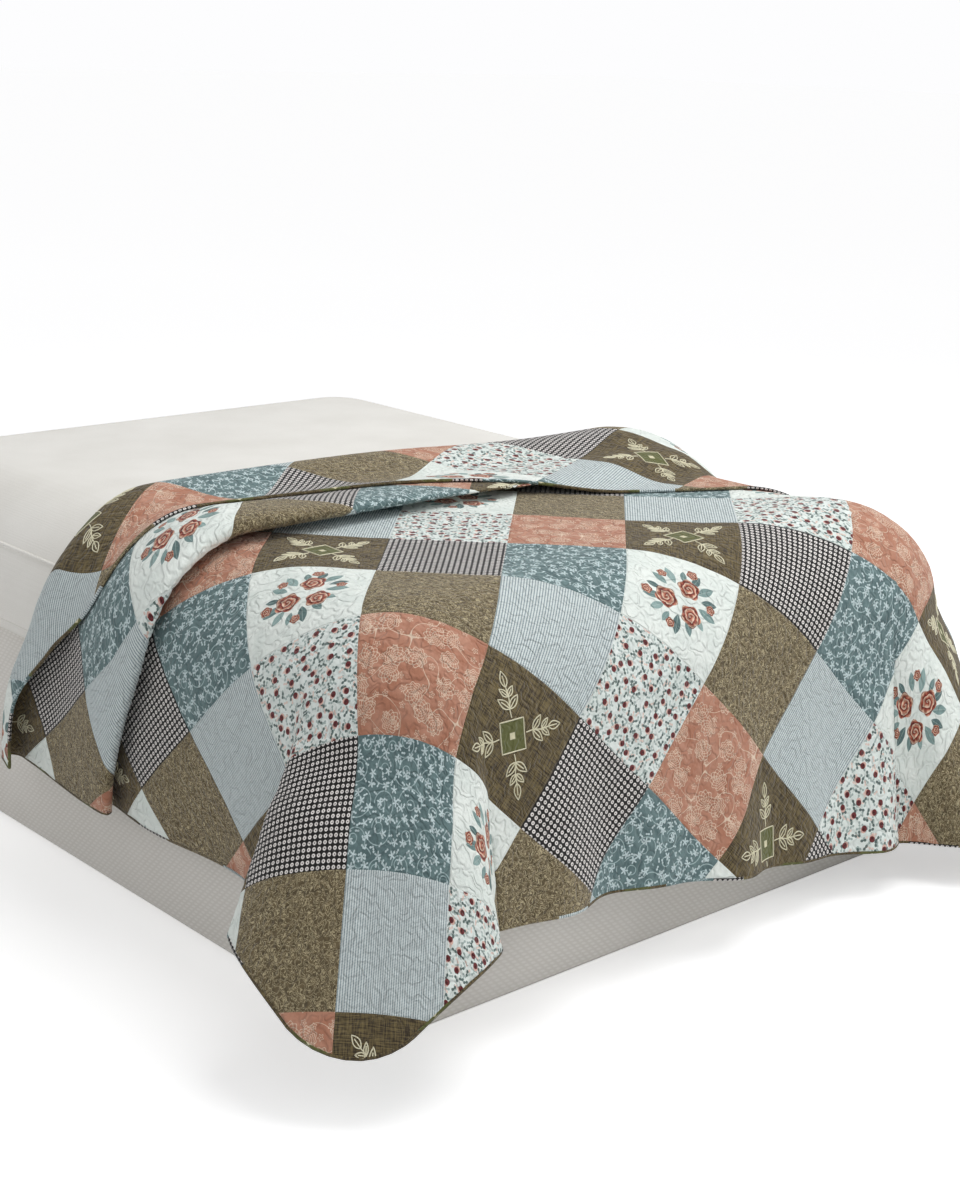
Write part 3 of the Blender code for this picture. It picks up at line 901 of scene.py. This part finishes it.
def teal_scroll(tree, spot):
    """Pale curling tendrils and small star flowers on grey teal."""
    ground = mottled(tree, spot, 0.03, "#587072", "#688182")
    radius, angle = scattered(tree, spot, SCROLL_PITCH, 0.45)
    winding = add(tree, MATH, angle, 0.0022, 0.0175, operation="MULTIPLY_ADD")
    ring = stroke(tree, radius, winding, 0.0009)
    curl = stroke(tree, radius, petals(tree, angle, 1, 0.0085, 0.35), 0.0008)
    small_radius, small_angle = scattered(tree, spot, STAR_PITCH, 0.7)
    star = inside_outline(tree, small_radius, petals(tree, small_angle, 5, 0.0049, 0.62))
    sprig_radius, sprig_angle = scattered(tree, spot, 0.016, 1.0)
    sprig = inside_outline(tree, sprig_radius, petals(tree, sprig_angle, 2, 0.0026, 0.8))
    return layered(tree, ground, (most(tree, ring, curl), "#a6bcbd"),
                   (most(tree, star, sprig), "#c6d7d9"))


def salmon_flowers(tree, spot):
    """Round flower heads, florets and stems, line-drawn in cream on salmon."""
    ground = mottled(tree, spot, 0.04, "#b0775d", "#bf8b73")
    radius, angle = scattered(tree, spot, FLOWER_PITCH, 0.6)
    lines = [stroke(tree, radius, petals(tree, angle, count, size, depth), DRAWN_HALF)
             for count, size, depth in ((9, 0.0175, 0.09), (8, 0.0135, 0.14), (7, 0.0095, 0.18),
                                        (6, 0.0058, 0.22), (5, 0.0026, 0.30))]
    small_radius, small_angle = scattered(tree, spot, FLORET_PITCH, 0.8)
    floret = petals(tree, small_angle, 5, 0.0042, 0.35)
    lines.append(stroke(tree, small_radius, floret, DRAWN_HALF))
    lines.append(within(tree, small_radius, 0.0012, 0.0003))
    wander = add(tree, NOISE, {"Vector": spot, "Scale": 1 / STEM_PITCH, "Detail": 0.0},
                 noise_dimensions="2D")
    lines.append(stroke(tree, wander, 0.5, 0.006))
    return layered(tree, ground, (most(tree, *lines), "#e3cbb4"))


def ditsy_buds(tree, spot):
    """Small dark red rosebuds with pink edges and grey green leaves on mint white."""
    layers = []
    for pitch, size, code in ((0.0125, 0.0029, "#a3b3af"), (0.022, 0.0030, "#e4cfc4"),
                              (0.0180, 0.0034, "#5b6d69")):
        radius, angle = scattered(tree, spot, pitch, 1.0)
        layers.append((inside_outline(tree, radius, petals(tree, angle, 2, size, 0.75)), code))
    radius, angle = scattered(tree, spot, BUD_PITCH, 0.62)
    for size, depth, code in ((0.0052, 0.36, "#dbb3a6"), (0.0053, -0.30, "#6a2225")):
        layers.append((inside_outline(tree, radius, petals(tree, angle, 1, size, depth)), code))
    return layered(tree, mottled(tree, spot, 0.05, "#dfe8e3", "#e9f0ec"), *layers,
                   (within(tree, radius, 0.0019, 0.0006), "#451513"))


def khaki_squiggle(tree, spot):
    """Short beige squiggles all over khaki brown."""
    ground = mottled(tree, spot, 0.012, "#574b33", "#6a5c40")
    wander = add(tree, NOISE, {"Vector": spot, "Scale": 1 / SQUIGGLE_PITCH, "Detail": 1.0,
                               "Distortion": 0.6}, noise_dimensions="2D")
    line = most(tree, stroke(tree, wander, 0.42, 0.028), stroke(tree, wander, 0.58, 0.028))
    return layered(tree, ground, (line, "#b5a885"))


def pin_stripe(tree, spot):
    """Grey blue lines 5 mm apart on pale grey, each broken like a coarse stitch."""
    parts = add(tree, SPLIT, spot)
    across = add(tree, MATH, parts.outputs[0], 2 * pi / STRIPE_PITCH, operation="MULTIPLY")
    across = add(tree, MATH, across, operation="SINE")
    along = add(tree, MATH, parts.outputs[1], 2 * pi / STITCH_PITCH, operation="MULTIPLY")
    dash = add(tree, MATH, parts.outputs[0], 2 * pi / STITCH_SLANT, along,
               operation="MULTIPLY_ADD")
    dash = add(tree, MATH, dash, operation="SINE")
    mark = add(tree, MATH, dash, 0.22, across, operation="MULTIPLY_ADD")
    return layered(tree, "#d6dedd", (add(tree, RANGE, mark, 0.15, 0.65), "#83959b"))


SQUARE_HALF = 0.027


def tweed(tree, spot):
    """Dark and light brown threads crossing, uneven in weight, with a green patch in the middle."""
    threads = []
    for squeeze in ((1, 0.06, 1), (0.06, 1, 1)):
        pulled = add(tree, MAPPING, {"Vector": spot, "Scale": squeeze})
        threads.append(add(tree, NOISE, {"Vector": pulled, "Scale": 1 / TWEED_THREAD,
                                         "Detail": 2.0}, noise_dimensions="2D"))
    both = add(tree, MATH, *threads, operation="ADD")
    upright = add(tree, MAPPING, {"Vector": in_patch(tree), "Rotation": (0, 0, pi / 4)},
                  vector_type="TEXTURE")
    nearer = from_middle(tree, upright)
    return layered(tree, "#362b1b", (add(tree, RANGE, both, 0.78, 1.22), "#776843"),
                   (within(tree, nearer, SQUARE_HALF, 0.0004), "#5f6233"),
                   (within(tree, nearer, CENTRE_HALF, 0.0006), "#dcd6b4"))


def leaf(tree, at, middle, turn, length, width):
    """A pointed leaf."""
    own = add(tree, MAPPING, {"Vector": at, "Location": (*middle, 0), "Rotation": (0, 0, turn),
                              "Scale": (length / 2, length / 2, 1)}, vector_type="TEXTURE")
    parts = add(tree, SPLIT, own)
    bow = add(tree, MATH, parts.outputs[0], parts.outputs[0], operation="MULTIPLY")
    half = add(tree, MATH, bow, -width / length, width / length, operation="MULTIPLY_ADD")
    off = add(tree, MATH, parts.outputs[1], operation="ABSOLUTE")
    return inside_outline(tree, off, half, 0.03), stroke(tree, parts.outputs[1], 0.0, 0.035)


def rose(tree, at, colour, middle, turn, size):
    """A full-blown rose: scalloped outline and petals wound round the heart."""
    own = add(tree, MAPPING, {"Vector": at, "Location": (*middle, 0), "Rotation": (0, 0, turn),
                              "Scale": (size / 2, size / 2, 1)}, vector_type="TEXTURE")
    radius, angle = polar(tree, own)
    shape_mask = inside_outline(tree, radius, petals(tree, angle, 5, 0.90, 0.10), 0.03)
    waver = add(tree, NOISE, {"Vector": own, "Scale": 2.2, "Detail": 1.0}, noise_dimensions="2D")
    wound = add(tree, MATH, angle, 1 / (2 * pi), waver, operation="MULTIPLY_ADD")
    wound = add(tree, MATH, radius, 2.7, wound, operation="MULTIPLY_ADD")
    petal = add(tree, "ShaderNodeValToRGB", add(tree, MATH, wound, operation="FRACT"))
    ramp = petal.color_ramp
    for where, code in ((0.16, "#7a251c"), (0.34, "#a8503a"), (0.62, "#d79c80"), (0.88, "#f0d9c2")):
        ramp.elements.new(where).color = linear(code)
    ramp.elements[0].color = linear("#571510")
    ramp.elements[-1].color = linear("#c98468")
    shade = add(tree, RANGE, waver, 0.42, 0.62, 0.62, 1.06)
    petal = add(tree, VECTOR, {0: petal, "Scale": shade}, operation="SCALE")
    return layered(tree, colour, (shape_mask, petal))


LEAF_COUNT = 14
LEAF_COLOURS = ("#7f9a97", "#56706f", "#6d8886", "#8fa9a6")
POSY_ROSES = (
    # across, up, turn, size
    (-0.052, 0.032, 2.0, 0.021),
    (0.052, 0.034, 4.0, 0.021),
    (0.000, 0.053, 1.0, 0.018),
    (-0.045, -0.031, 5.0, 0.018),
    (0.046, -0.029, 0.8, 0.018),
    (0.001, -0.030, 3.1, 0.040),
    (-0.026, 0.010, 0.4, 0.043),
    (0.026, 0.012, 2.3, 0.041),
)


def bouquet(tree, spot):
    """Three salmon and red roses and five buds in a ring of grey teal leaves, on each patch."""
    upright = add(tree, MAPPING, {"Vector": in_patch(tree), "Rotation": (0, 0, -pi / 4),
                                  "Scale": (1.2, -1.2, 1)}, vector_type="TEXTURE")
    colour = mottled(tree, spot, 0.06, "#e4ece6", "#eef4ee")
    for k in range(LEAF_COUNT):
        turn = k / LEAF_COUNT * 2 * pi
        blade, rib = leaf(tree, upright, (0.054 * cos(turn), 0.046 * sin(turn)), turn,
                          0.036 - 0.006 * (k % 3), 0.015 - 0.002 * (k % 3))
        vein = add(tree, MATH, rib, 0.4, operation="MULTIPLY")
        green = layered(tree, LEAF_COLOURS[k % len(LEAF_COLOURS)], (vein, "#b9cbc6"))
        colour = layered(tree, colour, (blade, green))
    for across, up, turn, size in POSY_ROSES:
        colour = rose(tree, upright, colour, (across, up), turn, size)
    return colour


def cotton(name, draw):
    """Printed quilting cotton: matt, a little fuzzy, puckered by the quilting, seamed at edges."""
    look, tree, shader = new_material("printed cotton, " + name, 0.85, sheen=0.15)
    spot = on_flat(tree)
    colour = draw(tree, spot)
    wander = add(tree, NOISE, {"Vector": spot, "Scale": 1 / QUILT_PITCH, "Detail": 0.0,
                               "Distortion": 0.5}, noise_dimensions="2D")
    puff = add(tree, RANGE, apart(tree, wander, 0.5), 0.0, PUFF_RISE,
               interpolation_type="SMOOTHSTEP")
    seam = within(tree, from_middle(tree, in_patch(tree)), PATCH / 2 - 1.2 * SEAM_DIP_AND_SHADE, SEAM_DIP_AND_SHADE)
    height = add(tree, MATH, puff, seam, operation="MINIMUM")
    # Painted shade: the colour is darkened a little in the quilting's channels and along the patch
    # seams, where the cloth dips and shade falls.
    crease_painted_shade = add(tree, RANGE, height, 0.0, 0.30, CREASE_SHADE)
    colour = add(tree, VECTOR, {0: colour, "Scale": crease_painted_shade}, operation="SCALE")
    pucker = add(tree, NOISE, {"Vector": spot, "Scale": 1 / PUCKER_PITCH, "Detail": 2.0},
                 noise_dimensions="2D")
    height = add(tree, MATH, pucker, PUCKER_SHARE, height, operation="MULTIPLY_ADD")
    relief = add(tree, "ShaderNodeBump",
                 {"Height": height, "Strength": 0.85, "Distance": QUILT_PUFF})
    finish_look(tree, shader, colour.outputs[0], relief)
    return look


PRINTS = (
    ("grey blue pin stripe", pin_stripe),
    ("brown tweed", tweed),
    ("rose bouquet", bouquet),
    ("small rosebuds", ditsy_buds),
    ("black and white check", small_check),
    ("khaki squiggle", khaki_squiggle),
    ("salmon line flowers", salmon_flowers),
    ("teal scroll", teal_scroll),
)
kinds = []
for number, face in enumerate(faces):
    if len(flat_faces) <= number < 2 * len(flat_faces):
        i, j = -patch_uv[face].mean(0)
        kinds.append(print_at(i, j, REVERSE_FIRST))
    else:
        i, j = face_uv[[v % count for v in face]].mean(0)
        kinds.append(print_at(i, j, FACE_FIRST))
quilt_mesh.polygons.foreach_set("material_index", kinds)
quilt_mesh.shade_smooth()
quilt = new_object("bedspread_quilt", quilt_mesh)
looks = [cotton(name, draw) for name, draw in PRINTS]
for look in looks:
    quilt.data.materials.append(look)
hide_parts("bedspread")
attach(quilt, "root")

# The hem is bound with a narrow rolled strip pieced from lengths of the same prints.

ROLL_RADIUS = 0.0036
ROLL_SIDES = 8
ROLL_STEP = 0.006
ROLL_LENGTHS = (
    # print by its number above, length
    (1, 0.31),
    (4, 0.10),
    (5, 0.16),
    (0, 0.08),
    (1, 0.22),
    (7, 0.12),
    (4, 0.07),
    (1, 0.27),
)
rim = middle[hem + hem[:1]]
run = np.concatenate([[0], np.cumsum(np.linalg.norm(np.diff(rim, axis=0), axis=1))])
ring_count = int(run[-1] / ROLL_STEP)
along = np.linspace(0, run[-1], ring_count, endpoint=False)
path = np.stack([np.interp(along, run, rim[:, axis]) for axis in range(3)], -1)
roll = cords_along("bedspread_hem", [(path.tolist(), True)], ROLL_RADIUS, ROLL_SIDES, looks[TWEED])
mesh = roll.data
mesh.materials.clear()
for look in looks:
    mesh.materials.append(look)
strip_ends = np.cumsum([length for _, length in ROLL_LENGTHS])
strip = mesh.uv_layers.new(name="patches")
for face in mesh.polygons:
    rings = [v // ROLL_SIDES for v in face.vertices]
    wraps = max(rings) - min(rings) > 1
    rings = [ring_count if wraps and ring == 0 else ring for ring in rings]
    at = sum(rings) / len(rings) * ROLL_STEP
    face.material_index = ROLL_LENGTHS[int(np.searchsorted(strip_ends, at % strip_ends[-1]))][0]
    for corner, ring in zip(face.loop_indices, rings):
        side = mesh.loops[corner].vertex_index % ROLL_SIDES
        strip.data[corner].uv = (ring * ROLL_STEP / PATCH, 0.40 + 0.02 * side)
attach(roll, "root")

# Each tweed patch is embroidered in cream thread: a plain square, and from the middle of each of
# its sides a straight sprig with two pairs of leaves and one at its tip.

THREAD_RADIUS = 0.0013
THREAD_SIDES = 4
THREAD_FIBRE = 0.0015
MOTIF_REACH = 0.15
SPRIG_STEM = ((0.031, 0.0), (0.048, 0.0015), (0.066, -0.0015), (0.082, 0.0))
SPRIG_LEAVES = (
    # root across, root up, turn, length, width
    (0.082, 0.0, 0.0, 0.028, 0.014),
    (0.046, 0.001, 0.85, 0.030, 0.013),
    (0.046, 0.001, -0.85, 0.030, 0.013),
    (0.066, 0.0, 0.75, 0.022, 0.010),
    (0.066, 0.0, -0.75, 0.022, 0.010),
)


def leaf_line(root, turn, length, width, count=22):
    """A pointed leaf's outline, from its root and back."""
    line = []
    for k in range(count):
        part = 2 * k / count
        side = 1 if part <= 1 else -1
        t = part if part <= 1 else 2 - part
        off = side * width / 2 * sin(pi * t ** 0.85)
        line.append((root[0] + t * length * cos(turn) - off * sin(turn),
                     root[1] + t * length * sin(turn) + off * cos(turn)))
    return line


def turned(line, quarters):
    c = cos(quarters * pi / 2)
    s = sin(quarters * pi / 2)
    return [(c * x - s * y, s * x + c * y) for x, y in line]


def patch_lines():
    """The embroidery's lines in one patch, in metres from its middle, each open or closed."""
    side = [((k / 6 - 1) * SQUARE_HALF, -SQUARE_HALF) for k in range(12)]
    square = [spot for quarters in range(4) for spot in turned(side, quarters)]
    order = np.arange(len(SPRIG_STEM))
    steps = np.linspace(0, len(SPRIG_STEM) - 1, 12)
    stem = np.stack([through(steps, order, row) for row in zip(*SPRIG_STEM)], -1)
    sprig = [(stem, False)]
    for x, y, turn, length, width in SPRIG_LEAVES:
        sprig.append((leaf_line((x, y), turn, length, width), True))
        rib = [(x + t * length * cos(turn), y + t * length * sin(turn))
               for t in np.linspace(0.04, 0.72, 8)]
        sprig.append((rib, False))
    return [(square, True)] + [(turned(line, quarters), closed)
                               for quarters in range(4) for line, closed in sprig]


flat_tree = BVHTree.FromPolygons([(x, y, 0.0) for x, y in flat_spots], flat_faces)


def on_cloth(x, y, reverse):
    """The point of the cloth's face or reverse over a place on the flat cloth, or None."""
    hit, _, face, gap = flat_tree.find_nearest((x, y, 0.0))
    if hit is None or gap > 0.0005:
        return None
    corners = flat_faces[face]
    weights = poly_3d_calc([(*flat_spots[v], 0.0) for v in corners], hit)
    surface = spots[count:] if reverse else spots[:count]
    return sum(w * surface[v] for w, v in zip(weights, corners))


threads = []
drawn_once = patch_lines()
for reverse, lowest in ((False, foot_hem(RIGHT_HEM)), (True, HEAD - 0.35)):
    for i in range(-13, 13):
        for j in range(-13, 13):
            if reverse:
                kind = print_at(-i - 1, -j - 1, REVERSE_FIRST)
                x0 = REVERSE_X + HALF_DIAGONAL * (i - j)
                y0 = REVERSE_Y + HALF_DIAGONAL * (i + j + 1)
            else:
                kind = print_at(i, j, FACE_FIRST)
                x0 = PATCH_X + HALF_DIAGONAL * (i - j)
                y0 = PATCH_Y - HALF_DIAGONAL * (i + j + 1)
            near = (LEFT_HEM - MOTIF_REACH < x0 < RIGHT_HEM + MOTIF_REACH
                    and lowest - MOTIF_REACH < y0 < HEAD + MOTIF_REACH)
            if kind != TWEED or not near:
                continue
            for line, closed in drawn_once:
                found = [on_cloth(x0 + u, y0 - v if reverse else y0 + v, reverse) for u, v in line]
                if closed and all(p is not None for p in found):
                    threads.append(([p.tolist() for p in found], True))
                    continue
                stretch = []
                for p in found + [None]:
                    if p is not None:
                        stretch.append(p.tolist())
                        continue
                    if len(stretch) > 2:
                        threads.append((stretch, False))
                    stretch = []
thread_look, tree, shader = new_material("cream embroidery thread", 0.6, sheen=0.2)
spot = add(tree, "ShaderNodeTexCoord").outputs["Object"]
fibre = add(tree, NOISE, {"Vector": spot, "Scale": 1 / THREAD_FIBRE, "Detail": 2.0})
colour = layered(tree, "#d0caa6", (fibre, "#f0ebd2"))
tree.links.new(colour, shader.inputs["Base Color"])
embroidery = cords_along("bedspread_embroidery", threads, THREAD_RADIUS, THREAD_SIDES, thread_look)
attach(embroidery, "root")
